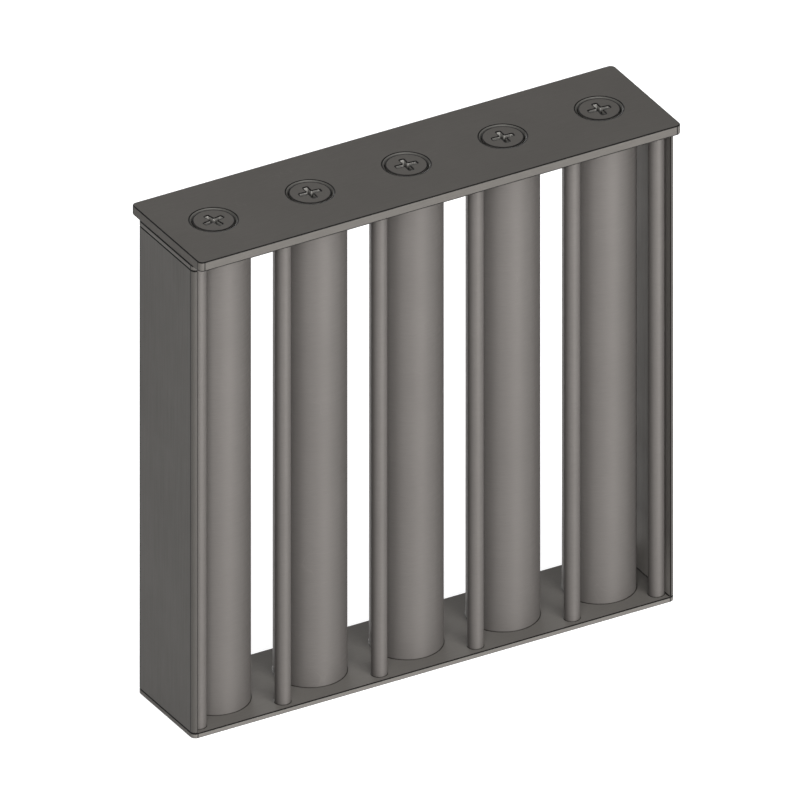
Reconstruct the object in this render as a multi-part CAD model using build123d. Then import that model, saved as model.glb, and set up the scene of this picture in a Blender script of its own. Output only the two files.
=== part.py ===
from build123d import *
import math
import os

# Magnetic grate separator: a welded frame that holds a row of upright magnetic tubes,
# with deflector rods in front of the gaps and a screwed-on cover plate.
# X runs along the row, -Y is the front, +Z is up. The origin is the middle of the underside.
# All lengths are in millimetres and all angles in degrees.

# Row of tubes
tube_count = 5
tube_pitch = 40.0
tube_diameter = 26.9
jacket_wall = 1.6

# Frame
overall_height = 200.0
frame_depth = 40.0
top_sheet = 2.0
bottom_sheet = 2.0
side_sheet = 2.0
corner_radius = 2.0

# Cover plate
cover_thickness = 4.0
cover_lip = 5.0

# Deflector rods
rod_diameter = 6.0
rod_inset = 2.0

# Inside of each tube, where the repeated discs are drawn with flat sides round their rims
magnets_per_tube = 4
pole_plate_thickness = 4.0
disc_sides = 20
core_clearance = 0.15
jacket_foot = 8.0
thread_runout = 1.75
plug_floor = 4.0

# Countersunk screws with a cross recess
screw_diameter = 8.0
screw_length = 20.0
screw_clearance = 0.5
head_diameter = 15.5
head_sink = 0.25
countersink_margin = 0.95
countersink_angle = 90.0
cone_clearance = 0.3
recess_span = 8.4
recess_arm = 1.5
recess_floor_span = 3.6
recess_depth = 3.6
first_screw_turn = 12.0
other_screw_turn = -4.0

# Frame worked out from the row
frame_length = tube_count * tube_pitch
frame_height = overall_height - cover_thickness
inner_height = frame_height - top_sheet - bottom_sheet
cover_width = frame_depth + 2 * cover_lip

# Tube axes stand in the middle of the frame's depth, each in the middle of its own bay
tube_places = [(index - (tube_count - 1) / 2) * tube_pitch for index in range(tube_count)]

# One rod stands before each gap, and one against each side plate
end_rod_place = frame_length / 2 - side_sheet - rod_diameter / 2
gap_rod_places = [(left + right) / 2 for left, right in zip(tube_places, tube_places[1:])]
rod_places = [-end_rod_place] + gap_rod_places + [end_rod_place]
rod_row = -(frame_depth / 2 - rod_inset - rod_diameter / 2)

# Screw and its holes
head_radius = head_diameter / 2
shank_radius = screw_diameter / 2
countersink_radius = head_radius + countersink_margin
cone_depth_per_radius = 1 / math.tan(math.radians(countersink_angle / 2))
land_bottom = countersink_margin * cone_depth_per_radius
cone_bottom = (countersink_radius - shank_radius) * cone_depth_per_radius
screw_tip = head_sink + screw_length
screw_hole_radius = shank_radius + screw_clearance
cone_radius_below_cover = countersink_radius - cover_thickness / cone_depth_per_radius
frame_hole_radius = max(screw_hole_radius, cone_radius_below_cover + cone_clearance)

# Inside of a tube, from the bottom plate up
jacket_bore = tube_diameter - 2 * jacket_wall
core_diameter = jacket_bore - 2 * core_clearance
tapped_depth = screw_tip - cover_thickness - top_sheet + thread_runout
top_plug_thickness = tapped_depth + plug_floor
stack_bottom = bottom_sheet + jacket_foot
stack_height = inner_height - jacket_foot - top_plug_thickness
pole_plate_total = (magnets_per_tube + 1) * pole_plate_thickness
magnet_length = (stack_height - pole_plate_total) / magnets_per_tube
stack_step = magnet_length + pole_plate_thickness


# A flat plate with round upright corners, its underside at the given height
def rounded_plate(length, depth, thickness, underside):
    outline = RectangleRounded(length, depth, corner_radius)
    return Pos(0, 0, underside) * extrude(outline, thickness)


# An upright round bar, its foot at the given place
def round_bar(diameter, length, x, y, foot):
    return Pos(x, y, foot) * extrude(Circle(diameter / 2), length)


# A magnet or pole plate on the axis of a tube
def core_disc(thickness, x, foot):
    outline = RegularPolygon(radius=core_diameter / 2, side_count=disc_sides)
    return Pos(x, 0, foot) * extrude(outline, thickness)


# Cover plate, countersunk over each tube
def make_cover_plate():
    plate = rounded_plate(frame_length, cover_width, cover_thickness, frame_height)
    for x in tube_places:
        hole = CounterSinkHole(
            radius=screw_hole_radius,
            counter_sink_radius=countersink_radius,
            depth=overall_height,
            counter_sink_angle=countersink_angle,
        )
        plate -= Pos(x, 0, overall_height) * hole
    return plate


# Top plate of the frame, with a clear hole under each countersink
def make_frame_top_plate():
    underside = frame_height - top_sheet
    plate = rounded_plate(frame_length, frame_depth, top_sheet, underside)
    for x in tube_places:
        plate -= round_bar(2 * frame_hole_radius, top_sheet, x, 0, underside)
    return plate


# Bottom plate of the frame, plain underneath
def make_frame_bottom_plate():
    return rounded_plate(frame_length, frame_depth, bottom_sheet, 0)


# Side plate between the top and bottom plates, its outer edges rounded in line with their corners
def make_side_plate(side):
    column = rounded_plate(frame_length, frame_depth, inner_height, bottom_sheet)
    strip = Box(side_sheet, frame_depth, overall_height, align=(Align.CENTER, Align.CENTER, Align.MIN))
    return column & Pos(side * (frame_length - side_sheet) / 2, 0, 0) * strip


# Jacket tube of one magnetic tube, with the disc that is welded into its foot
def make_tube_jacket(x):
    bore = round_bar(jacket_bore, inner_height - jacket_foot, x, 0, stack_bottom)
    return round_bar(tube_diameter, inner_height, x, 0, bottom_sheet) - bore


# Tapped plug that closes the top of a jacket and takes the screw
def make_top_plug(x):
    inner_top = bottom_sheet + inner_height
    plug = round_bar(jacket_bore, top_plug_thickness, x, 0, inner_top - top_plug_thickness)
    return plug - round_bar(screw_diameter, tapped_depth, x, 0, inner_top - tapped_depth)


# Magnets of one tube, one above the other with a pole plate between each two
def make_magnets(x):
    first_foot = stack_bottom + pole_plate_thickness
    feet = [first_foot + index * stack_step for index in range(magnets_per_tube)]
    return [core_disc(magnet_length, x, foot) for foot in feet]


# Steel pole plates of one tube, one under each magnet and one on the last
def make_pole_plates(x):
    feet = [stack_bottom + index * stack_step for index in range(magnets_per_tube + 1)]
    return [core_disc(pole_plate_thickness, x, foot) for foot in feet]


# Deflector rod, from the bottom plate to the top plate
def make_deflector_rod(x):
    return round_bar(rod_diameter, inner_height, x, rod_row, bottom_sheet)


# One wing pair of the cross recess, shorter at its floor
def make_recess_wing(turn):
    outline = Polyline(
        (-recess_span / 2, 0),
        (-recess_floor_span / 2, -recess_depth),
        (recess_floor_span / 2, -recess_depth),
        (recess_span / 2, 0),
        close=True,
    )
    return Rot(0, 0, turn) * extrude(Plane.XZ * make_face(outline), recess_arm / 2, both=True)


# Countersunk screw, with its head a little below the cover's top face
def make_screw(x, turn):
    profile = Polyline(
        (0, -head_sink),
        (head_radius, -head_sink),
        (head_radius, -land_bottom),
        (shank_radius, -cone_bottom),
        (shank_radius, -screw_tip),
        (0, -screw_tip),
        close=True,
    )
    body = revolve(Plane.XZ * make_face(profile), Axis.Z)
    recess = make_recess_wing(turn) + make_recess_wing(turn + 90)
    return Pos(x, 0, overall_height) * (body - Pos(0, 0, -head_sink) * recess)


def make_screws():
    turns = [first_screw_turn] + [other_screw_turn] * (tube_count - 1)
    return [make_screw(x, turn) for x, turn in zip(tube_places, turns)]


def write_part(name, shape):
    export_step(shape, f"parts/{name}.step")


os.makedirs("parts", exist_ok=True)

write_part("cover_plate", make_cover_plate())
write_part("cover_screws", Compound(children=make_screws()))
write_part("top_plugs", Compound(children=[make_top_plug(x) for x in tube_places]))
write_part("frame_top_plate", make_frame_top_plate())
write_part("frame_bottom_plate", make_frame_bottom_plate())
write_part("left_side_plate", make_side_plate(-1))
write_part("right_side_plate", make_side_plate(1))

for number, x in enumerate(tube_places, start=1):
    write_part(f"tube_jacket_{number}", make_tube_jacket(x))
    write_part(f"magnets_{number}", Compound(children=make_magnets(x)))
    write_part(f"pole_plates_{number}", Compound(children=make_pole_plates(x)))

for number, x in enumerate(rod_places, start=1):
    write_part(f"deflector_rod_{number}", make_deflector_rod(x))
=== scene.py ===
# %% [markdown]
# # A magnetic grate, dressed in Blender
#
# The real thing is a small steel frame that slides into the housing of a hopper or chute. Five
# magnetic tubes stand in it, thin rods in front of them spread the falling product, and a thicker
# cover plate is screwed down over the row. The CAD model already has every size, so Blender's
# work here is what CAD leaves out: edges that a hand has broken, welds, a real cross recess,
# brushed steel, and a studio.

import math

import bmesh
import bpy
from mathutils import Matrix, Vector


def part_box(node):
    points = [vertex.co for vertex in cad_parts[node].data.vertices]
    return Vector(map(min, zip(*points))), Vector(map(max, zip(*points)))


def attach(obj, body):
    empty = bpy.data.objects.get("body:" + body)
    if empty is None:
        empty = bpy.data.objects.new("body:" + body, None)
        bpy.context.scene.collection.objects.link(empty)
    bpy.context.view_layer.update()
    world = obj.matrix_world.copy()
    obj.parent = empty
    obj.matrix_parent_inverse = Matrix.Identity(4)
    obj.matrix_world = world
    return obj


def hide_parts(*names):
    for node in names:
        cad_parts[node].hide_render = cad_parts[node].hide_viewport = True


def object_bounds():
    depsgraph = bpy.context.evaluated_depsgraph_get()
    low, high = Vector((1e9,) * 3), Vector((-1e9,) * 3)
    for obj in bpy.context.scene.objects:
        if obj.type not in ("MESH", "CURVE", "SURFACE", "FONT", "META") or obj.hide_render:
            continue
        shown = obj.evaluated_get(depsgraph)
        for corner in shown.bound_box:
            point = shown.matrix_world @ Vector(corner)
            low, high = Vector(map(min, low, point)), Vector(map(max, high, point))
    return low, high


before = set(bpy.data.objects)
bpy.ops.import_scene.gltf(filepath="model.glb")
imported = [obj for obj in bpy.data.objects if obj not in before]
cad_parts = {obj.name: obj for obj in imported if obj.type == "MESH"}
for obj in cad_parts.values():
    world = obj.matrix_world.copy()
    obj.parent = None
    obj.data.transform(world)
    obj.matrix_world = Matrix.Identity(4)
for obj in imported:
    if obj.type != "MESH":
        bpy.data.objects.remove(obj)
cad_low, cad_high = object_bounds()
print("CAD box in mm:", [round(1000 * v, 2) for v in (*cad_low, *cad_high)])

# %% [markdown]
# Lengths below are written in millimetres, as on a drawing, and multiplied by MM because Blender
# counts in metres. The places of the pieces are read from the CAD nodes, so nothing has to be
# fitted by eye.

# %% Sizes and places
MM = 0.001
same_place = 0.01 * MM
tube_numbers = range(1, 6)
rod_numbers = range(1, 7)
cover_low, cover_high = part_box("cover_plate")
cover_top = cover_high.z
tube_x = [sum(corner.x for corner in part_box(f"tube_jacket_{n}")) / 2 for n in tube_numbers]
rod_boxes = [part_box(f"deflector_rod_{n}") for n in rod_numbers]
rod_x = [(low.x + high.x) / 2 for low, high in rod_boxes]
middle = (cad_low + cad_high) / 2
print("tubes stand at x =", [round(x / MM, 1) for x in tube_x])
print("rods stand at x =", [round(x / MM, 1) for x in rod_x])

# %% [markdown]
# Blender's operators act on whatever is selected, and loading the frame leaves its nodes
# selected. These helpers select one object, or chosen faces and edges of it, before anything is
# done. An object that is finished keeps its place in its mesh and sits at the origin itself, as
# the CAD nodes do.

# %% Helpers for selecting
def pick(obj):
    """Makes obj the only selected object, outside edit mode."""
    active = bpy.context.view_layer.objects.active
    if active is not None and active.mode == "EDIT":
        bpy.ops.object.mode_set(mode="OBJECT")
    bpy.ops.object.select_all(action="DESELECT")
    obj.select_set(True)
    bpy.context.view_layer.objects.active = obj


def named(name):
    """Names the object that an operator has just added, and puts its place into its mesh."""
    obj = bpy.context.active_object
    obj.name = name
    obj.data.name = name
    bpy.ops.object.transform_apply(location=True, rotation=True, scale=True)
    return obj


def edit(obj, kind, wanted):
    """Opens obj in edit mode and selects only the VERT, EDGE or FACE elements that are wanted."""
    pick(obj)
    bpy.ops.object.mode_set(mode="EDIT")
    bpy.ops.mesh.select_mode(type=kind)
    bpy.ops.mesh.select_all(action="DESELECT")
    mesh = bmesh.from_edit_mesh(obj.data)
    elements = {"VERT": mesh.verts, "EDGE": mesh.edges, "FACE": mesh.faces}[kind]
    chosen = [element for element in elements if wanted(element)]
    for element in chosen:
        element.select_set(True)
    bmesh.update_edit_mesh(obj.data)
    return len(chosen)


def close_edit():
    bpy.ops.object.mode_set(mode="OBJECT")


def is_upright(edge):
    """True for an edge that runs straight up."""
    a, b = edge.verts[0].co, edge.verts[1].co
    return abs(a.z - b.z) > 10 * same_place and (a - b).xy.length < same_place


# %% [markdown]
# No edge of a real sheet is perfectly sharp: after cutting it is run over a deburring belt. A
# narrow bevel turns each joint between two plates into a fine groove, which is how a seam reads
# from a distance. The picture draws all these edges as thin dark lines, so a broken edge gets a
# darker finish of its own. Each piece therefore has three material slots: BODY for the piece
# itself, INNER for the faces that a cutter made or that look inwards, and EDGE for the broken
# edges. Weighted normals keep the big faces flat.

# %% Helpers for finishing
double_distance = 0.002 * MM


def apply_all(obj):
    pick(obj)
    for modifier in list(obj.modifiers):
        bpy.ops.object.modifier_apply(modifier=modifier.name)


BODY, INNER, EDGE = range(3)


def add_slots(obj, index=BODY):
    """Gives obj an empty material slot for each finish, and all its faces one of them."""
    while len(obj.data.materials) <= EDGE:
        obj.data.materials.append(None)
    for face in obj.data.polygons:
        face.material_index = index


def cut(obj, cutter):
    """Takes the cutter's shape out of obj and deletes the cutter. Its faces get the INNER slot."""
    if not cutter.data.materials:
        add_slots(cutter, INNER)
    boolean = obj.modifiers.new("cut", "BOOLEAN")
    boolean.operation = "DIFFERENCE"
    boolean.solver = "EXACT"
    boolean.object = cutter
    apply_all(obj)
    bpy.data.objects.remove(cutter, do_unlink=True)


def break_edges(obj, width, segments=2, sharper_than=32):
    """Bevels every edge that turns by more than this many degrees."""
    bevel = obj.modifiers.new("broken edges", "BEVEL")
    bevel.width = width
    bevel.segments = segments
    bevel.limit_method = "ANGLE"
    bevel.angle_limit = math.radians(sharper_than)
    if obj.data.materials:
        bevel.material = EDGE
    apply_all(obj)


def clean_up(obj):
    """Merges double vertices and turns every face outwards."""
    edit(obj, "VERT", lambda vertex: True)
    bpy.ops.mesh.remove_doubles(threshold=double_distance)
    bpy.ops.mesh.normals_make_consistent(inside=False)
    close_edit()


def smooth(obj, angle=50):
    """Smooth shading that keeps the flat faces flat."""
    pick(obj)
    bpy.ops.object.shade_smooth_by_angle(angle=math.radians(angle))
    normals = obj.modifiers.new("flat faces stay flat", "WEIGHTED_NORMAL")
    normals.keep_sharp = True
    normals.weight = 80
    apply_all(obj)


def copy_of(obj, name, change):
    """A copy with its own mesh, which the matrix moves or turns."""
    copy = obj.copy()
    copy.data = obj.data.copy()
    copy.name = name
    copy.data.name = name
    copy.data.transform(change)
    bpy.context.collection.objects.link(copy)
    return copy


def row_of(first, name, places):
    """The first piece, and a numbered copy of it at each further place along X."""
    pieces = [first]
    for number, x in enumerate(places[1:], start=2):
        shift = Matrix.Translation((x - places[0], 0, 0))
        pieces.append(copy_of(first, f"{name}_{number}", shift))
    return pieces


def report(obj):
    triangles = sum(len(face.vertices) - 2 for face in obj.data.polygons)
    print(f"{obj.name}: {len(obj.data.vertices)} vertices, {triangles} triangles")


# %% [markdown]
# ## The plates
#
# Every plate is laser-cut sheet. A cube stretched to the CAD node's box is the blank, and the
# upright edges at its outer corners are rounded. On the two side plates the radius is as large as
# the sheet is thick, so the whole edge rolls over, which is the soft strip of light down the
# front corner of the frame.

# %% Plate blanks
corner_radius = 2.0 * MM
corner_segments = 8
seam = 0.12 * MM


def plate_blank(name, node, is_round, gap=0.0):
    """A block as large as the node less a gap at both ends, with chosen upright edges rounded."""
    low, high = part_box(node)
    low.z += gap
    high.z -= gap
    bpy.ops.object.select_all(action="DESELECT")
    bpy.ops.mesh.primitive_cube_add(size=1, location=(low + high) / 2, scale=high - low)
    plate = named(name)
    edit(plate, "EDGE", lambda edge: is_upright(edge) and is_round(edge.verts[0].co))
    bpy.ops.mesh.bevel(
        offset=corner_radius, segments=corner_segments, affect="EDGES", clamp_overlap=False
    )
    close_edit()
    clean_up(plate)
    return plate


def at_any_corner(place):
    return True


def at_outer_corner(place):
    return abs(place.x) > cad_high.x - same_place


cover = plate_blank("cover", "cover_plate", at_any_corner)
upper_plate = plate_blank("upper_frame_plate", "frame_top_plate", at_any_corner)
lower_plate = plate_blank("lower_frame_plate", "frame_bottom_plate", at_any_corner)
left_plate = plate_blank("left_frame_plate", "left_side_plate", at_outer_corner, seam)
right_plate = plate_blank("right_frame_plate", "right_side_plate", at_outer_corner, seam)
plates = (cover, upper_plate, lower_plate, left_plate, right_plate)
for plate in plates:
    report(plate)

# %% [markdown]
# The outer edges are broken first, while the plates are still plain blocks. A bevel that comes
# after the holes would be held back everywhere by the short edges round their rims. A fine line
# also runs down each corner where its roll begins: the upright edge there is opened to a narrow
# strip. The inner faces of the side plates and the top of the lower plate move to the INNER
# slot, so that they can take a tint of their own: the side plates are painted lighter inside, as
# painted light where the frame shades itself.

# %% Broken outer edges
roll_line = 0.40 * MM
side_break = 0.32 * MM


def bevel_chosen(plate, chosen, offset, segments):
    """Bevels the chosen edges and gives the new faces the EDGE slot."""
    count = edit(plate, "EDGE", chosen)
    bpy.ops.mesh.bevel(
        offset=offset, segments=segments, affect="EDGES", material=EDGE, clamp_overlap=False
    )
    close_edit()
    return count


def break_rim(plate, level, width):
    """Breaks the edges round the plate's face at this height."""
    def at_level(edge):
        return all(abs(vertex.co.z - level) < same_place for vertex in edge.verts)

    return bevel_chosen(plate, at_level, width, segments=2)


def mark_rolls(plate, at_front_too):
    """Opens the upright edges where a corner's roll begins to thin strips."""
    x_end = max(abs(corner[0]) for corner in plate.bound_box)
    y_end = max(abs(corner[1]) for corner in plate.bound_box)

    def begins_roll(edge):
        from_side = x_end - abs(edge.verts[0].co.x)
        from_front = y_end - abs(edge.verts[0].co.y)
        on_side = from_side < same_place and abs(from_front - corner_radius) < same_place
        on_front = from_front < same_place and abs(from_side - corner_radius) < same_place
        return is_upright(edge) and (on_side or on_front and at_front_too)

    return bevel_chosen(plate, begins_roll, roll_line / 2, segments=1)


def line_inside(plate, looks_inside):
    """Gives the INNER slot to the faces whose normal passes the test."""
    for face in plate.data.polygons:
        if looks_inside(face.normal):
            face.material_index = INNER


for plate, upper_break, lower_break in (
    (cover, 0.38 * MM, 0.60 * MM),
    (upper_plate, 0.34 * MM, 0.30 * MM),
    (lower_plate, 0.36 * MM, 0.24 * MM),
):
    add_slots(plate)
    lines = mark_rolls(plate, at_front_too=True)
    heights = [corner[2] for corner in plate.bound_box]
    edges = break_rim(plate, max(heights), upper_break)
    edges += break_rim(plate, min(heights), lower_break)
    print(f"{plate.name}: {edges} edges broken, {lines} roll lines")
for plate in (left_plate, right_plate):
    add_slots(plate)
    lines = mark_rolls(plate, at_front_too=False)
    break_edges(plate, side_break)
    print(f"{plate.name}: {lines} roll lines")
line_inside(left_plate, lambda normal: normal.x > 0.99)
line_inside(right_plate, lambda normal: normal.x < -0.99)
line_inside(lower_plate, lambda normal: normal.z > 0.99 or abs(normal.x) > 0.99)

# %% [markdown]
# A countersink is a cone, and so is the tool that cuts it. This one has a wider, nearly flat cone
# on top that breaks the rim in the same cut. It reaches past both faces of the plate, which
# leaves clean rims. The plate below only has clear holes for the screws.

# %% Countersinks and clear holes
countersink_radius = 8.7 * MM
rim_out = 0.45 * MM
rim_drop = 0.07 * MM
clear_hole_radius = 5.0 * MM
overshoot = 1.0 * MM
cover_thickness = cover_high.z - cover_low.z
round_sides = 96
hole_sides = 72


def push_down(obj, depth, factor=1.0):
    """Extrudes the lowest face down by depth and scales it about the axis."""
    lowest = min(vertex.co.z for vertex in obj.data.vertices)

    def is_lowest(face):
        return face.normal.z < -0.9 and face.calc_center_median().z < lowest + same_place

    edit(obj, "FACE", is_lowest)
    bpy.ops.mesh.extrude_region_move(TRANSFORM_OT_translate={"value": (0, 0, -depth)})
    bpy.ops.transform.resize(value=(factor, factor, 1), center_override=(0, 0, 0))
    close_edit()


def countersink_tool(x):
    """A wide cone down to the end of the broken rim, then the 90 degree cone through the plate."""
    rim_end = countersink_radius - rim_drop
    flat_slope = (rim_out + rim_drop) / rim_drop
    height = overshoot + rim_drop
    bpy.ops.object.select_all(action="DESELECT")
    bpy.ops.mesh.primitive_cone_add(
        vertices=round_sides,
        radius1=rim_end,
        radius2=rim_end + flat_slope * height,
        depth=height,
        location=(0, 0, cover_top - rim_drop + height / 2),
    )
    tool = named("cutter")
    reach = cover_thickness + overshoot - rim_drop
    push_down(tool, reach, (rim_end - reach) / rim_end)
    add_slots(tool, INNER)
    for face in tool.data.polygons:
        if face.center.z > cover_top - rim_drop:
            face.material_index = EDGE
    tool.data.transform(Matrix.Translation((x, 0, 0)))
    return tool


def drill(x, low, high):
    """A plain drill for the clear hole, from below one height to above the other."""
    bpy.ops.object.select_all(action="DESELECT")
    bpy.ops.mesh.primitive_cylinder_add(
        vertices=hole_sides,
        radius=clear_hole_radius,
        depth=high - low + 2 * overshoot,
        location=(x, 0, (low + high) / 2),
    )
    return named("cutter")


sheet_low, sheet_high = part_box("frame_top_plate")
for x in tube_x:
    cut(cover, countersink_tool(x))
    cut(upper_plate, drill(x, sheet_low.z, sheet_high.z))

for plate in plates:
    clean_up(plate)
    smooth(plate)
    report(plate)

# %% [markdown]
# ## The magnetic tubes
#
# Each tube is a thin stainless jacket over a stack of magnets. A cylinder is the start. Its top
# face is inset by the wall and pushed down to the disc that closes the foot, which makes a real
# cup and not a solid bar. The ends get a small chamfer, so a fine dark line shows where tube and
# plate meet.

# %% Tube jacket
jacket_wall = 1.6 * MM
jacket_foot = 8.0 * MM
end_chamfer = 0.2 * MM


def upright_bar(name, low, high, sides):
    """A cylinder that fills the box from low to high."""
    bpy.ops.object.select_all(action="DESELECT")
    bpy.ops.mesh.primitive_cylinder_add(
        vertices=sides,
        radius=(high.x - low.x) / 2,
        depth=high.z - low.z,
        location=(low + high) / 2,
    )
    return named(name)


tube_low, tube_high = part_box("tube_jacket_1")
tube = upright_bar("tube_shell_1", tube_low, tube_high, sides=128)
edit(tube, "FACE", lambda face: face.normal.z > 0.9)
bpy.ops.mesh.inset(thickness=jacket_wall)
bore_depth = tube_high.z - tube_low.z - jacket_foot
bpy.ops.mesh.extrude_region_move(TRANSFORM_OT_translate={"value": (0, 0, -bore_depth)})
close_edit()
break_edges(tube, end_chamfer)
clean_up(tube)
smooth(tube)
tubes = row_of(tube, "tube_shell", tube_x)
report(tube)

# %% [markdown]
# ## The deflector rods
#
# Six drawn rods, 6 mm thick, cut to length and set in by hand. They are modelled once and copied.

# %% Rods
rod = upright_bar("rod_1", *rod_boxes[0], sides=64)
break_edges(rod, end_chamfer)
clean_up(rod)
smooth(rod)
rods = row_of(rod, "rod", rod_x)
report(rod)

# %% [markdown]
# ## The welds
#
# Tubes, rods and side plates are welded in with a very thin bead. Half of a weld is melted into
# the two parts that it joins, so a slim torus whose middle line runs along the joint shows just
# the part that stands out. A welder's bead is a row of overlapping drops: the torus is scaled
# ring by ring in code, so that it swells and shrinks along its length.

# %% Round welds
tube_bead = 0.27 * MM
rod_bead = 0.23 * MM
bead_sides = 10
drop_pitch = 0.9 * MM
drop_depth = 0.14
slices_per_drop = 4
bead_angle = 60


def ripple(obj, way_along, middle_of):
    """Swells and shrinks a bead, given a vertex's way along it and its nearest middle point."""
    for vertex in obj.data.vertices:
        phase = (way_along(vertex.co) / drop_pitch) % 1.0
        bulge = math.sqrt(max(0.0, 1.0 - (2.0 * phase - 1.0) ** 2))
        centre = middle_of(vertex.co)
        vertex.co = centre + (vertex.co - centre) * (1.0 - drop_depth * (1.0 - bulge))


def round_weld(name, x, y, z, radius, bead):
    """A bead round a tube or rod, on the plate at height z."""
    drops = round(2 * math.pi * radius / drop_pitch)
    bpy.ops.object.select_all(action="DESELECT")
    bpy.ops.mesh.primitive_torus_add(
        location=(0, 0, 0),
        major_radius=radius,
        minor_radius=bead,
        major_segments=drops * slices_per_drop,
        minor_segments=bead_sides,
    )
    weld = named(name)
    way_per_radian = drops * drop_pitch / (2 * math.pi)
    ripple(
        weld,
        lambda place: math.atan2(place.y, place.x) * way_per_radian,
        lambda place: place.xy.normalized().to_3d() * radius,
    )
    weld.data.transform(Matrix.Translation((x, y, z)))
    return weld


def joined(name, parts):
    """One object out of several."""
    pick(parts[0])
    for part in parts[1:]:
        part.select_set(True)
    bpy.ops.object.join()
    parts[0].name = name
    parts[0].data.name = name
    return parts[0]


def bar_welds(name, low, high, places, bead):
    """The beads at both ends of a row of bars, of which the first fills the box low to high."""
    x, y = (low.x + high.x) / 2, (low.y + high.y) / 2
    beads = []
    for end, height in (("foot", low.z), ("head", high.z)):
        first = round_weld(f"{name}_{end}", x, y, height, (high.x - low.x) / 2, bead)
        beads += row_of(first, f"{name}_{end}", places)
    welds = joined(name, beads)
    smooth(welds, bead_angle)
    report(welds)
    return welds


tube_weld = bar_welds("tube_welds", tube_low, tube_high, tube_x, tube_bead)
rod_weld = bar_welds("rod_welds", *rod_boxes[0], rod_x, rod_bead)

# %% [markdown]
# The bead in each corner of the frame is straight: a thin cylinder cut into short slices along
# its length, which then gets the same drops.

# %% Straight welds
corner_bead = 0.30 * MM
bead_end_round = 0.08 * MM
held_back = 0.6 * MM
side_low, side_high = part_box("left_side_plate")
bead_length = side_high.y - side_low.y - 2 * held_back


def straight_weld(x, z):
    """A bead from front to back in an inner corner of the frame."""
    drops = round(bead_length / drop_pitch)
    bpy.ops.object.select_all(action="DESELECT")
    bpy.ops.mesh.primitive_cylinder_add(vertices=bead_sides, radius=corner_bead, depth=bead_length)
    weld = named("corner_weld")
    edit(weld, "EDGE", is_upright)
    bpy.ops.mesh.subdivide(number_cuts=drops * slices_per_drop - 1)
    close_edit()
    ripple(weld, lambda place: place.z, lambda place: Vector((0, 0, place.z)))
    to_y = Matrix.Rotation(math.radians(-90), 4, "X")
    weld.data.transform(Matrix.Translation((x, 0, z)) @ to_y)
    break_edges(weld, bead_end_round, segments=1, sharper_than=bead_angle)
    clean_up(weld)
    return weld


inner_x = side_high.x
corner_welds = [
    straight_weld(x, z) for z in (side_low.z, side_high.z) for x in (inner_x, -inner_x)
]
corner_weld = joined("corner_welds", corner_welds)
smooth(corner_weld, bead_angle)
report(corner_weld)

# %% [markdown]
# ## The screws
#
# Countersunk M8 screws with a cross recess. The head starts as a thin disc. Its lower face is
# pushed down and scaled to make the 90 degree cone, and pushed down again for the core of the
# shank. Its top face is inset, which leaves a narrow band that rolls off towards the rim. The
# thread is a triangle carried up a helix by the Screw modifier, then made one body with the core.

# %% Screw head and shank
head_radius = 7.75 * MM
head_sink = 0.25 * MM
land_bottom = 0.95 * MM
cone_bottom = 4.7 * MM
shank_radius = 4.0 * MM
core_radius = 3.4 * MM
screw_length = 20.0 * MM
screw_end = screw_length + head_sink
plain_shank = 0.5 * MM
shank_taper = 0.4 * MM
tip_height = 0.6 * MM
tip_share = 0.75
head_break = 0.1 * MM
band_width = 0.12 * MM
band_fall = 0.01 * MM

land_height = land_bottom - head_sink
bpy.ops.object.select_all(action="DESELECT")
bpy.ops.mesh.primitive_cylinder_add(
    vertices=round_sides,
    radius=head_radius,
    depth=land_height,
    location=(0, 0, -head_sink - land_height / 2),
)
screw = named("screw")
push_down(screw, cone_bottom - land_bottom, shank_radius / head_radius)
push_down(screw, plain_shank)
push_down(screw, shank_taper, core_radius / shank_radius)
push_down(screw, screw_end - cone_bottom - plain_shank - shank_taper - tip_height)
push_down(screw, tip_height, tip_share)
clean_up(screw)
add_slots(screw)
break_edges(screw, head_break, sharper_than=40)
edit(screw, "FACE", lambda face: face.normal.z > 0.99)
bpy.ops.mesh.inset(thickness=band_width, depth=band_fall)
close_edit()
report(screw)

# %% Thread
thread_pitch = 1.25 * MM
thread_start = cone_bottom + 1.5 * MM
thread_end = screw_end - 1.2 * MM
turns = int((thread_end - thread_start) / thread_pitch)
ridge_root = core_radius - 0.25 * MM
ridge_crest = shank_radius - 0.06 * MM
ridge_half = 0.468 * thread_pitch
steps_per_turn = 32
lowest_ridge = -thread_start - turns * thread_pitch
ridge = [
    (ridge_root, 0, lowest_ridge + ridge_half),
    (ridge_crest, 0, lowest_ridge),
    (ridge_root, 0, lowest_ridge - ridge_half),
]
bpy.ops.object.select_all(action="DESELECT")
bpy.ops.mesh.primitive_circle_add(vertices=len(ridge), radius=ridge_half, fill_type="NOTHING")
thread = named("thread")
for vertex, place in zip(thread.data.vertices, ridge):
    vertex.co = place
helix = thread.modifiers.new("helix", "SCREW")
helix.axis = "Z"
helix.steps = steps_per_turn
helix.render_steps = steps_per_turn
helix.screw_offset = thread_pitch
helix.iterations = turns
apply_all(thread)
edit(thread, "EDGE", lambda edge: edge.is_boundary)
bpy.ops.mesh.fill_holes(sides=0)
close_edit()
clean_up(thread)
union = screw.modifiers.new("one body", "BOOLEAN")
union.operation = "UNION"
union.solver = "EXACT"
union.object = thread
apply_all(screw)
bpy.data.objects.remove(thread, do_unlink=True)
report(screw)

# %% [markdown]
# The recess is cut with a punch, as the real one is pressed with one. A small block is the middle
# of the cross and its four sides are pulled out to wings. The tip is scaled down, because the
# walls of a cross recess slope inwards, and the upright edges are rounded where the wings meet
# and at their ends.

# %% Cross recess
recess_span = 8.7 * MM
recess_arm = 1.65 * MM
recess_depth = 2.6 * MM
recess_floor_share = 0.55
crotch_round = 0.55 * MM
wing_round = 0.28 * MM
punch_overshoot = 0.4 * MM


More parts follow.
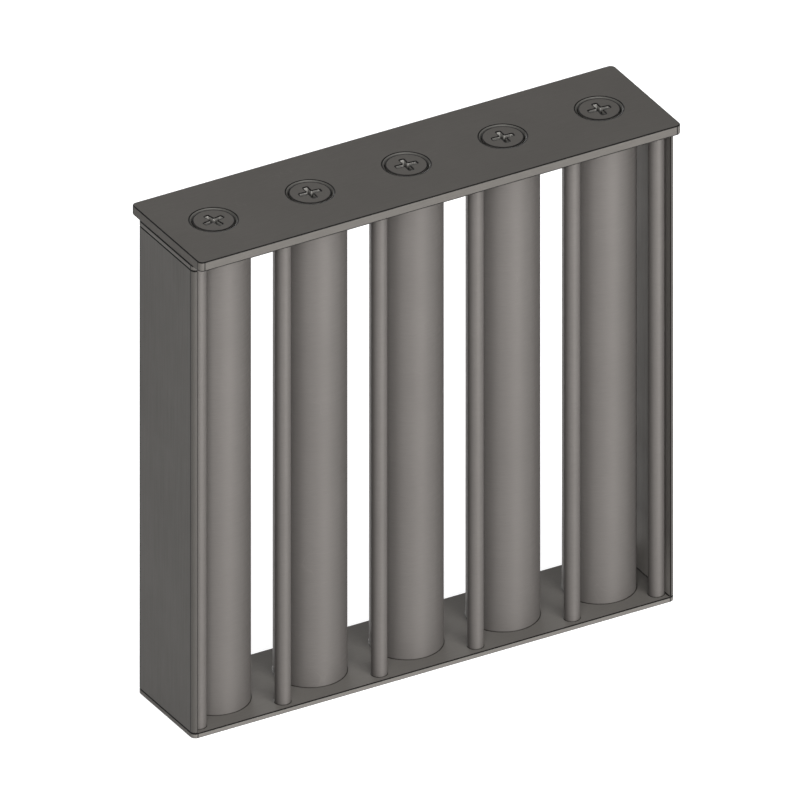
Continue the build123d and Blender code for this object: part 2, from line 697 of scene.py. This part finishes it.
def make_punch():
    """The punch of the cross recess, standing in the head with its tip down."""
    height = recess_depth + punch_overshoot
    bpy.ops.object.select_all(action="DESELECT")
    bpy.ops.mesh.primitive_cube_add(
        size=1,
        location=(0, 0, -head_sink + punch_overshoot - height / 2),
        scale=(recess_arm, recess_arm, height),
    )
    punch = named("punch")
    edit(punch, "FACE", lambda face: abs(face.normal.z) < 0.1)
    bpy.ops.mesh.extrude_faces_move(
        TRANSFORM_OT_shrink_fatten={"value": (recess_span - recess_arm) / 2}
    )
    close_edit()
    tip = -head_sink - recess_depth
    edit(punch, "VERT", lambda vertex: vertex.co.z < tip + same_place)
    bpy.ops.transform.resize(
        value=(recess_floor_share, recess_floor_share, 1), center_override=(0, 0, 0)
    )
    close_edit()

    def round_risers(reach_fits, offset, segments):
        """Bevels the rising edges whose furthest reach from the axis passes the test."""
        def is_chosen(edge):
            a, b = edge.verts[0].co, edge.verts[1].co
            reach = max(a.xy.length, b.xy.length)
            return abs(a.z - b.z) > 0.5 * height and reach_fits(reach)

        edit(punch, "EDGE", is_chosen)
        bpy.ops.mesh.bevel(offset=offset, segments=segments, affect="EDGES")
        close_edit()

    round_risers(lambda reach: reach < 1.2 * recess_arm, crotch_round, segments=5)
    round_risers(lambda reach: reach > 0.3 * recess_span, wing_round, segments=3)
    clean_up(punch)
    return punch


cut(screw, make_punch())

# %% [markdown]
# The press that forms the recess leaves a rounded rim, and the flat beside it rolls off a little,
# as it does at the edge of the head. Insetting the flat top and lifting it by a hair makes both
# rims at once. They are darker than the flat, because a polishing wheel doesn't reach them.

# %% Rolled rims of the head
mouth_round = 0.22 * MM
rim_width = 0.28 * MM
rim_fall = 0.02 * MM
flat_enough = 0.999


def on_flat_top(face):
    is_high = face.calc_center_median().z > -head_sink - same_place
    return is_high and face.normal.z > flat_enough


def round_the_mouth(edge):
    borders_flat = sum(on_flat_top(face) for face in edge.link_faces) == 1
    return borders_flat and all(vertex.co.xy.length < 0.6 * recess_span for vertex in edge.verts)


mouth = edit(screw, "EDGE", round_the_mouth)
bpy.ops.mesh.bevel(offset=mouth_round, segments=2, affect="EDGES", material=EDGE)
close_edit()
flats = edit(screw, "FACE", on_flat_top)
bpy.ops.mesh.inset(thickness=rim_width, depth=rim_fall, use_even_offset=True, use_boundary=True)
close_edit()
for face in screw.data.polygons:
    if 0.8 < face.normal.z < flat_enough and face.center.z > -head_sink:
        face.material_index = EDGE
print(mouth, "edges round the mouth,", flats, "flat faces")
clean_up(screw)
smooth(screw, angle=45)
report(screw)

# %% [markdown]
# Nobody lines up the slots of five screws. The first one stands at another angle than the rest,
# which makes the row look as if a person had tightened it.

# %% Five screws in place
first_turn = math.radians(12.0)
other_turn = math.radians(-4.0)
screws = []
for number, x in zip(tube_numbers, tube_x):
    turn = Matrix.Rotation(first_turn if number == 1 else other_turn, 4, "Z")
    in_place = Matrix.Translation((x, 0, cover_top)) @ turn
    screws.append(copy_of(screw, f"screw_{number}", in_place))
bpy.data.objects.remove(screw, do_unlink=True)
print("screws:", [piece.name for piece in screws])

# %% [markdown]
# ## Shared effects
#
# Brushed steel is a field of very long, very thin scratches. A noise pattern that is squeezed
# hard across the brushing direction and hardly at all along it gives just that. It is built once
# as a node group and used in every steel here with its own stretch. The second group adds the
# soft cloudy patches that handling leaves, and a few single scratches.

# %% Node group: brushed grain
def new_group(name, inputs, outputs):
    """An empty shader node group with these sockets, and its two end nodes."""
    group = bpy.data.node_groups.new(name, "ShaderNodeTree")
    for socket, kind, value in inputs:
        made = group.interface.new_socket(socket, in_out="INPUT", socket_type=kind)
        made.default_value = value
    for socket, kind in outputs:
        group.interface.new_socket(socket, in_out="OUTPUT", socket_type=kind)
    return group, group.nodes.new("NodeGroupInput"), group.nodes.new("NodeGroupOutput")


def noise(tree, vector, scale, detail, roughness=0.55):
    node = tree.nodes.new("ShaderNodeTexNoise")
    node.inputs["Scale"].default_value = scale
    node.inputs["Detail"].default_value = detail
    node.inputs["Roughness"].default_value = roughness
    tree.links.new(vector, node.inputs["Vector"])
    return node.outputs["Fac"]


def stretched(tree, stretch):
    """Object coordinates, stretched by the value of another socket."""
    place = tree.nodes.new("ShaderNodeTexCoord")
    mapping = tree.nodes.new("ShaderNodeMapping")
    tree.links.new(place.outputs["Object"], mapping.inputs["Vector"])
    tree.links.new(stretch, mapping.inputs["Scale"])
    return mapping.outputs["Vector"]


def remap(tree, value, low, high, to_low, to_high):
    node = tree.nodes.new("ShaderNodeMapRange")
    for socket, number in (
        ("From Min", low), ("From Max", high), ("To Min", to_low), ("To Max", to_high)
    ):
        node.inputs[socket].default_value = number
    tree.links.new(value, node.inputs["Value"])
    return node.outputs["Result"]


def combine(tree, operation, first, second):
    """A Math node on two values, each a socket or a number."""
    node = tree.nodes.new("ShaderNodeMath")
    node.operation = operation
    for socket, value in zip(node.inputs, (first, second)):
        if isinstance(value, bpy.types.NodeSocket):
            tree.links.new(value, socket)
        else:
            socket.default_value = value
    return node.outputs[0]


grain_group, start, end = new_group(
    "brushed_grain",
    [("Stretch", "NodeSocketVector", (40, 900, 900))],
    [("Streaks", "NodeSocketFloat"), ("Hairlines", "NodeSocketFloat")],
)
across = stretched(grain_group, start.outputs["Stretch"])
broad = noise(grain_group, across, 1.0, 3)
fine = noise(grain_group, across, 5.0, 4, 0.65)
grain_group.links.new(remap(grain_group, broad, 0.3, 0.7, 0, 1), end.inputs["Streaks"])
grain_group.links.new(remap(grain_group, fine, 0.25, 0.75, 0, 1), end.inputs["Hairlines"])
print("node group:", grain_group.name)

# %% Node group: handling marks
marks_group, start, end = new_group(
    "handling_marks",
    [("Patch Scale", "NodeSocketFloat", 30.0), ("Scratch Scale", "NodeSocketFloat", 60.0)],
    [("Patches", "NodeSocketFloat"), ("Scratches", "NodeSocketFloat")],
)
place = marks_group.nodes.new("ShaderNodeTexCoord").outputs["Object"]
patch_noise = noise(marks_group, place, 1.0, 3)
marks_group.links.new(start.outputs["Patch Scale"], patch_noise.node.inputs["Scale"])
marks_group.links.new(remap(marks_group, patch_noise, 0.35, 0.65, 0, 1), end.inputs["Patches"])
scratch_noise = noise(marks_group, place, 1.0, 1, 0.4)
scratch_noise.node.inputs["Distortion"].default_value = 0.6
marks_group.links.new(start.outputs["Scratch Scale"], scratch_noise.node.inputs["Scale"])
from_middle = combine(marks_group, "SUBTRACT", scratch_noise, 0.5)
thin_line = remap(marks_group, combine(marks_group, "ABSOLUTE", from_middle, 0), 0.0, 0.004, 1, 0)
handled_spots = remap(marks_group, noise(marks_group, place, 45.0, 1), 0.56, 0.64, 0, 1)
single_scratches = combine(marks_group, "MULTIPLY", thin_line, handled_spots)
marks_group.links.new(single_scratches, end.inputs["Scratches"])
print("node group:", marks_group.name)

# %% [markdown]
# ## Steel
#
# One recipe serves all the steels, each with its own tint, brushing direction and gloss. The tint
# is dark and slightly warm, as the object is. The streaks change the colour only a little and the
# roughness more, because that is what brushing does: it changes how sharply the surface mirrors,
# not what it is made of.

# %% The steel recipe
def mixed_colour(tree, amount, first, second):
    node = tree.nodes.new("ShaderNodeMix")
    node.data_type = "RGBA"
    tree.links.new(amount, node.inputs["Factor"])
    colours = [socket for socket in node.inputs if socket.type == "RGBA"]
    for socket, value in zip(colours, (first, second)):
        if isinstance(value, bpy.types.NodeSocket):
            tree.links.new(value, socket)
        else:
            socket.default_value = (*value, 1)
    return next(socket for socket in node.outputs if socket.type == "RGBA")


def scaled(colour, factor):
    return tuple(channel * factor for channel in colour)


reflection_tint = (0.45, 0.45, 0.45, 1)
quarter_turn = 0.25
# Painted shade darkens a steel towards this near-black tint, and painted light lightens it by this
# factor, both at up to this strength.
painted_shade_tint = (0.012, 0.011, 0.010)
painted_tone_strength, painted_light_tone = 0.92, 1.7
hairline_tone = 0.10
patch_strength, patch_tone = 0.35, 0.88
scratch_strength, scratch_tone = 0.12, 1.6
streak_gloss, patch_gloss = 0.05, 0.03
brushing_depth = 0.004 * MM
scratch_depth = 0.3


def steel(
    name, tint, stretch, roughness, metallic=0.35, gloss_level=0.2, grain=1.0, marks=1.0, bump=0.5,
    sheen=0.0, shade_painted_below=None, light_painted_below=None
):
    """A brushed steel. Stretch is how often the grain changes per metre along X, Y and Z.

    Gloss level is the strength of the clear reflection. Sheen draws the highlight out along the
    axis of a round bar. Shade painted below is two heights: plain above the first, painted darker
    below the second, as painted shade. Light painted below is two heights too: plain above the
    first, painted lighter below the second, as painted light."""
    material = bpy.data.materials.new(name)
    material.use_nodes = True
    tree = material.node_tree
    surface = tree.nodes["Principled BSDF"]
    surface.inputs["Metallic"].default_value = metallic
    surface.inputs["Specular IOR Level"].default_value = gloss_level
    surface.inputs["Specular Tint"].default_value = reflection_tint
    surface.inputs["Anisotropic"].default_value = sheen
    surface.inputs["Anisotropic Rotation"].default_value = quarter_turn

    brushed = tree.nodes.new("ShaderNodeGroup")
    brushed.node_tree = grain_group
    brushed.inputs["Stretch"].default_value = stretch
    handled = tree.nodes.new("ShaderNodeGroup")
    handled.node_tree = marks_group

    streaks = brushed.outputs["Streaks"]
    hairlines = brushed.outputs["Hairlines"]
    patches = handled.outputs["Patches"]
    scratches = handled.outputs["Scratches"]

    dark = scaled(tint, 1 - hairline_tone * grain)
    bright = scaled(tint, 1 + hairline_tone * grain)
    body = mixed_colour(tree, hairlines, dark, bright)
    clouded = remap(tree, patches, 0, 1, 0, patch_strength * marks)
    cloudy = mixed_colour(tree, clouded, body, scaled(tint, patch_tone))
    scratched = remap(tree, scratches, 0, 1, 0, scratch_strength * marks)
    colour = mixed_colour(tree, scratched, cloudy, scaled(tint, scratch_tone))
    # Painted shade darkens the colour towards the bottom, below the given heights; painted light
    # lightens it there.
    if shade_painted_below or light_painted_below:
        high, low = shade_painted_below or light_painted_below
        place = tree.nodes.new("ShaderNodeTexCoord")
        split = tree.nodes.new("ShaderNodeSeparateXYZ")
        tree.links.new(place.outputs["Object"], split.inputs["Vector"])
        below = remap(tree, split.outputs["Z"], low, high, painted_tone_strength, 0)
        lower_tint = painted_shade_tint if shade_painted_below else scaled(tint, painted_light_tone)
        colour = mixed_colour(tree, below, colour, lower_tint)
    tree.links.new(colour, surface.inputs["Base Color"])

    shift = remap(tree, streaks, 0, 1, -streak_gloss * grain, streak_gloss * grain)
    worn = remap(tree, patches, 0, 1, -patch_gloss * marks, patch_gloss * marks)
    gloss = combine(tree, "ADD", combine(tree, "ADD", shift, worn), roughness)
    tree.links.new(gloss, surface.inputs["Roughness"])

    grooves = combine(tree, "MULTIPLY", scratches, scratch_depth)
    height = combine(tree, "SUBTRACT", hairlines, grooves)
    relief = tree.nodes.new("ShaderNodeBump")
    relief.inputs["Strength"].default_value = bump
    relief.inputs["Distance"].default_value = brushing_depth
    tree.links.new(height, relief.inputs["Height"])
    tree.links.new(relief.outputs["Normal"], surface.inputs["Normal"])
    return material


# %% [markdown]
# The plates share one tint, painted a little darker or lighter by how the light reaches each
# face. The outer faces of the side plates are painted darker, as painted shade. Their inner faces
# are painted lighter and their feet lighter still, and the lower plate is painted lighter too, all
# as painted light where the frame shades itself. The cover, the screw heads and the lower plate's
# top are satin, so that they don't glare when the light comes in flat from behind.

# %% Steels of the plates
plate_tint = (0.0935, 0.0880, 0.0815)
along_x = (35, 1100, 1100)
along_z = (1100, 1100, 35)
satin = {"metallic": 0.07, "gloss_level": 0.03}
side_foot_painted_light = (28 * MM, 8 * MM)
cover_steel = steel("cover_steel", scaled(plate_tint, 0.96), along_x, 0.48, **satin)
frame_steel = steel("frame_steel", plate_tint, along_x, 0.42)
# The lower plate is painted lighter all over, and its top a little less, as painted light where
# the frame shades it.
lower_plate_painted_light_steel = steel("lower_plate_painted_light_steel", scaled(plate_tint, 1.36), along_x, 0.42)
lower_top_painted_light_steel = steel("lower_top_painted_light_steel", scaled(plate_tint, 1.25), along_x, 0.48, **satin)
# The outer faces of the side plates are painted darker, as painted shade; their inner faces are
# painted lighter, and lighter still towards the bottom, as painted light.
side_outer_painted_shade_steel = steel("side_outer_painted_shade_steel", scaled(plate_tint, 0.74), along_z, 0.42)
side_inner_painted_light = steel("side_inner_painted_light_steel", scaled(plate_tint, 1.3), along_z, 0.42, light_painted_below=side_foot_painted_light)

# %% [markdown]
# Tubes and rods are ground round their axis, which draws the highlight out along them. The
# recesses are painted much lighter than the heads, as painted light on walls that the lamps hardly
# reach, and they and the countersinks are painted darker towards the bottom, as painted shade.
# Broken edges and welds have gone dark.

# %% Steels of the round pieces, screws, edges and welds
tube_tint = (0.095, 0.0882, 0.0832)
edge_tint = (0.004, 0.0037, 0.0034)
round_z = (60, 60, 1300)
turned_z = (120, 120, 2200)
ground = {"roughness": 0.53, "metallic": 0.33, "grain": 0.8, "sheen": 0.57}
countersink_painted_shade = (cover_top - 0.66 * MM, cover_top - 0.80 * MM)
recess_painted_shade = (cover_top - 1.1 * MM, cover_top - 2.6 * MM)


def even(scale):
    """The stretch of a grain without a direction."""
    return (scale, scale, scale)


jacket_steel = steel("jacket_steel", tube_tint, round_z, **ground)
drawn_steel = steel("drawn_rod_steel", tube_tint, round_z, **ground)
head_steel = steel(
    "screw_head_steel", scaled(plate_tint, 0.96), even(900), 0.44, grain=0.7, marks=0.6, **satin
)
# The countersink is painted darker below the rim, in the groove round the head, as painted shade.
countersink_steel = steel(
    "countersink_steel", (0.097, 0.094, 0.087), turned_z, 0.4, marks=0.3, shade_painted_below=countersink_painted_shade
)
# The recess is painted much lighter than the head, as painted light on walls that the lamps hardly
# reach, and darker towards its bottom, as painted shade.
recess_painted_light_shade_steel = steel(
    "recess_painted_light_shade_steel", (0.235, 0.228, 0.214), even(600), 0.4, grain=0.5, marks=0.3, shade_painted_below=recess_painted_shade
)
dark_edge = steel("oxide_dark_edge", edge_tint, even(900), 0.6, metallic=0.0, grain=0.6, marks=0.3)
weld_steel = steel("weld_bead_steel", (0.022, 0.020, 0.018), even(700), 0.45, marks=0.4)
print("materials:", [material.name for material in bpy.data.materials])

# %% [markdown]
# Inside the tubes there is nothing to see, but the pieces are there, so they get their real
# finishes too: turned steel plugs, soft iron pole plates and nickel-plated magnets.

# %% Finishes of the hidden pieces
plug_steel = steel("turned_plug_steel", (0.30, 0.295, 0.285), (90, 90, 1600), 0.32, metallic=0.9)
pole_iron = steel("pole_iron", (0.20, 0.195, 0.19), even(500), 0.5, metallic=0.9, marks=0.5)
magnet_nickel = steel(
    "nickel_plate", (0.52, 0.50, 0.46), even(300), 0.22, metallic=1.0, grain=0.4, marks=0.3,
    bump=0.2,
)


def paint(obj, material, inner_material=None, edge_material=None):
    """Gives obj this material, and its inner faces and broken edges their own if one is given."""
    if not obj.material_slots:
        obj.data.materials.append(material)
    finishes = [material, inner_material or material, edge_material or material]
    for slot, finish in zip(obj.material_slots, finishes):
        slot.material = finish


paint(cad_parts["top_plugs"], plug_steel)
for number in tube_numbers:
    paint(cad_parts[f"pole_plates_{number}"], pole_iron)
    paint(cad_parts[f"magnets_{number}"], magnet_nickel)
print("inner nodes painted:", 1 + 2 * len(tube_numbers))

# %% [markdown]
# ## Onto the frame
#
# Each piece gets its finish, rides on the one body of the frame, and stands for the CAD node that
# it is a finer version of. The CAD node is then hidden and stays for the simulation.

# %% Ride and replace
def hand_over(piece, slot, nodes, *finishes):
    """Paints the piece, puts it on the frame's body and lets it replace its CAD nodes, if any."""
    paint(piece, *finishes)
    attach(piece, "root")
    if nodes:
        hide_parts(*nodes)


for piece, node, finish, inner_finish in (
    (cover, "cover_plate", cover_steel, countersink_steel),
    (upper_plate, "frame_top_plate", frame_steel, frame_steel),
    (lower_plate, "frame_bottom_plate", lower_plate_painted_light_steel, lower_top_painted_light_steel),
    (left_plate, "left_side_plate", side_outer_painted_shade_steel, side_inner_painted_light),
    (right_plate, "right_side_plate", side_outer_painted_shade_steel, side_inner_painted_light),
):
    hand_over(piece, "plate_steel", [node], finish, inner_finish, dark_edge)
for number, piece in zip(tube_numbers, tubes):
    hand_over(piece, "tube_steel", [f"tube_jacket_{number}"], jacket_steel)
for number, piece in zip(rod_numbers, rods):
    hand_over(piece, "rod_steel", [f"deflector_rod_{number}"], drawn_steel)
for piece in screws:
    hand_over(piece, "screw_steel", ["cover_screws"], head_steel, recess_painted_light_shade_steel, dark_edge)
for piece in (tube_weld, rod_weld, corner_weld):
    hand_over(piece, "plate_steel", [], weld_steel)

# %% [markdown]
# ## The studio
#
# The floor is pale. It takes the object's soft shadow, and it shines a little for the camera and
# for mirror rays, so that it reads as white paper without any extra light falling on the steel.

# %% Floor
floor_size = 8.0
floor_drop = 0.05 * MM
paper_white = (0.6, 0.6, 0.6, 1)
paper_roughness = 0.9
paper_gloss = 0.1
own_light = 0.72
bpy.ops.object.select_all(action="DESELECT")
bpy.ops.mesh.primitive_plane_add(size=floor_size, location=(0, 0, -floor_drop))
floor = named("studio_floor")
floor_paint = bpy.data.materials.new("white_floor")
floor_paint.use_nodes = True
tree = floor_paint.node_tree
surface = tree.nodes["Principled BSDF"]
surface.inputs["Base Color"].default_value = paper_white
surface.inputs["Roughness"].default_value = paper_roughness
surface.inputs["Specular IOR Level"].default_value = paper_gloss
surface.inputs["Emission Color"].default_value = (1, 1, 1, 1)
ray = tree.nodes.new("ShaderNodeLightPath")
seen = combine(tree, "MAXIMUM", ray.outputs["Is Camera Ray"], ray.outputs["Is Glossy Ray"])
seen = combine(tree, "MAXIMUM", seen, ray.outputs["Is Transmission Ray"])
tree.links.new(combine(tree, "MULTIPLY", seen, own_light), surface.inputs["Emission Strength"])
paint(floor, floor_paint)

# %% [markdown]
# The object's front is its bright side, and its top and left side are equally dark. So the key
# light is a large soft box low in front, a touch to the right. A weaker one at the front left
# opens the left flanks of the round parts and the inside of the frame, and a faint one hangs
# above. Two more stand behind: the higher one gives the top face its even sheen, and the low one
# keeps the back from going black. The rest comes from an even, dim room.

# %% Lights and world
def direction(azimuth, elevation):
    """The way from the object to this azimuth and elevation. Azimuth 0 is straight in front."""
    turn, rise = math.radians(azimuth), math.radians(elevation)
    return Vector(
        (math.sin(turn) * math.cos(rise), -math.cos(turn) * math.cos(rise), math.sin(rise))
    )


def look_back(obj, away):
    """Makes a light or camera in the direction away look back at the object."""
    obj.rotation_mode = "QUATERNION"
    obj.rotation_quaternion = (-away).to_track_quat("-Z", "Y")


def soft_box(name, azimuth, elevation, distance, size, power):
    """An area light that looks at the middle of the object, in degrees, metres and watts."""
    away = direction(azimuth, elevation)
    bpy.ops.object.select_all(action="DESELECT")
    bpy.ops.object.light_add(type="AREA", location=middle + away * distance)
    light = bpy.context.active_object
    light.name = name
    light.data.shape = "RECTANGLE"
    light.data.size, light.data.size_y = size
    light.data.energy = power
    look_back(light, away)
    print(f"{name}: {power} W from azimuth {azimuth}, elevation {elevation}")


soft_box("key_in_front", 12, 9, 1.5, (0.8, 0.45), 30)
soft_box("fill_above", 0, 62, 1.5, (0.9, 0.9), 5)
soft_box("fill_front_left", -28, 26, 1.5, (1.0, 1.0), 20)
soft_box("glow_behind", 165, 10, 1.6, (0.9, 0.6), 7.5)
soft_box("low_behind", 180, 1, 1.6, (1.5, 0.18), 20)

room_light = 0.36
world = bpy.data.worlds.new("dim_room")
bpy.context.scene.world = world
world.use_nodes = True
room = world.node_tree.nodes["Background"]
room.inputs["Color"].default_value = (1.0, 1.0, 1.0, 1)
room.inputs["Strength"].default_value = room_light

# %% [markdown]
# ## The camera
#
# The picture has no perspective, so the camera is orthographic. It looks from the front left, 30
# degrees round and 30 degrees up, and its frame is 287 mm wide. The object stands a few pixels
# right of and below the picture's middle, so the camera aims at a point a little left of and
# above the object's own middle.

# %% Camera
view_azimuth = -30.0
view_elevation = 30.0
frame_width = 287.46 * MM
aim_left = 2.30 * MM
aim_up = 1.83 * MM
camera_distance = 1.5
away = direction(view_azimuth, view_elevation)
right = Vector((0, 0, 1)).cross(away).normalized()
up = away.cross(right)
aim = middle - right * aim_left + up * aim_up
bpy.ops.object.camera_add(location=aim + away * camera_distance)
camera = bpy.context.active_object
camera.name = "picture_camera"
look_back(camera, away)
camera.data.type = "ORTHO"
camera.data.ortho_scale = frame_width
camera.data.clip_start = 0.01
camera.data.clip_end = 20
bpy.context.scene.camera = camera
bpy.context.scene.view_settings.view_transform = "Standard"
print("camera at", [round(v, 3) for v in camera.location])
